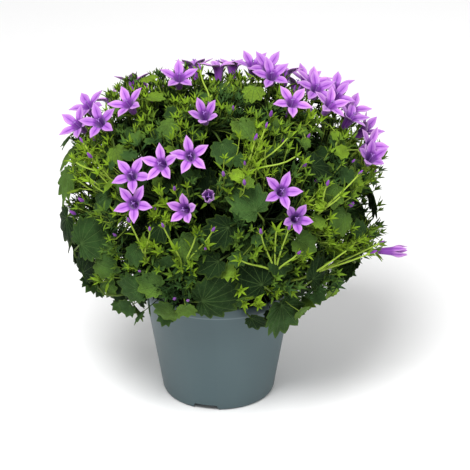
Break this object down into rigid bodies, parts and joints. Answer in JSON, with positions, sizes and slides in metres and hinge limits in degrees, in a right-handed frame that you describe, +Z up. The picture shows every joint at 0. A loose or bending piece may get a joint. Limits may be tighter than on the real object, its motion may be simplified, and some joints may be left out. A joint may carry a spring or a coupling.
{
  "type": "potted bellflower",
  "caption": "Small pot plant: star-shaped violet bells over a loose mound of toothed green leaves in a round tapered grower's pot.",
  "frame": {"origin": "centre of the pot's foot, on the surface that the pot stands on", "axes": "+Z up along the pot's axis, -Y towards the viewer of the picture, +X to the viewer's right"},
  "size_m": [0.2495, 0.2039, 0.2523],
  "materials": {
    "pot_plastic": "matte",
    "compost": "matte",
    "leaf_green": "satin",
    "petal_violet": "matte"
  },
  "bodies": {
    "root": {"bloom_01": "petal_violet", "bloom_02": "petal_violet", "bloom_03": "petal_violet", "bloom_04": "petal_violet", "bloom_05": "petal_violet", "bloom_06": "petal_violet", "bloom_07": "petal_violet", "bloom_08": "petal_violet", "bloom_09": "petal_violet", "bloom_10": "petal_violet", "bloom_11": "petal_violet", "bloom_12": "petal_violet", "bloom_13": "petal_violet", "bloom_14": "petal_violet", "bloom_15": "petal_violet", "bloom_16": "petal_violet", "bloom_17": "petal_violet", "bloom_18": "petal_violet", "bloom_19": "petal_violet", "bloom_20": "petal_violet", "bloom_21": "petal_violet", "bloom_22": "petal_violet", "bloom_23": "petal_violet", "bloom_24": "petal_violet", "bloom_25": "petal_violet", "bloom_26": "petal_violet", "bloom_27": "petal_violet", "bloom_28": "petal_violet", "bloom_29": "petal_violet", "bloom_30": "petal_violet", "bloom_31": "petal_violet", "bloom_32": "petal_violet", "bloom_33": "petal_violet", "bloom_34": "petal_violet", "bloom_35": "petal_violet", "bloom_36": "petal_violet", "bloom_37": "petal_violet", "bloom_38": "petal_violet", "pot": "pot_plastic", "shoot_01": "leaf_green", "shoot_02": "leaf_green", "shoot_03": "leaf_green", "shoot_04": "leaf_green", "shoot_05": "leaf_green", "shoot_06": "leaf_green", "shoot_07": "leaf_green", "shoot_08": "leaf_green", "shoot_09": "leaf_green", "shoot_10": "leaf_green", "shoot_11": "leaf_green", "shoot_12": "leaf_green", "shoot_13": "leaf_green", "shoot_14": "leaf_green", "shoot_15": "leaf_green", "shoot_16": "leaf_green", "shoot_17": "leaf_green", "shoot_18": "leaf_green", "soil": "compost"}
  },
  "joints": []
}
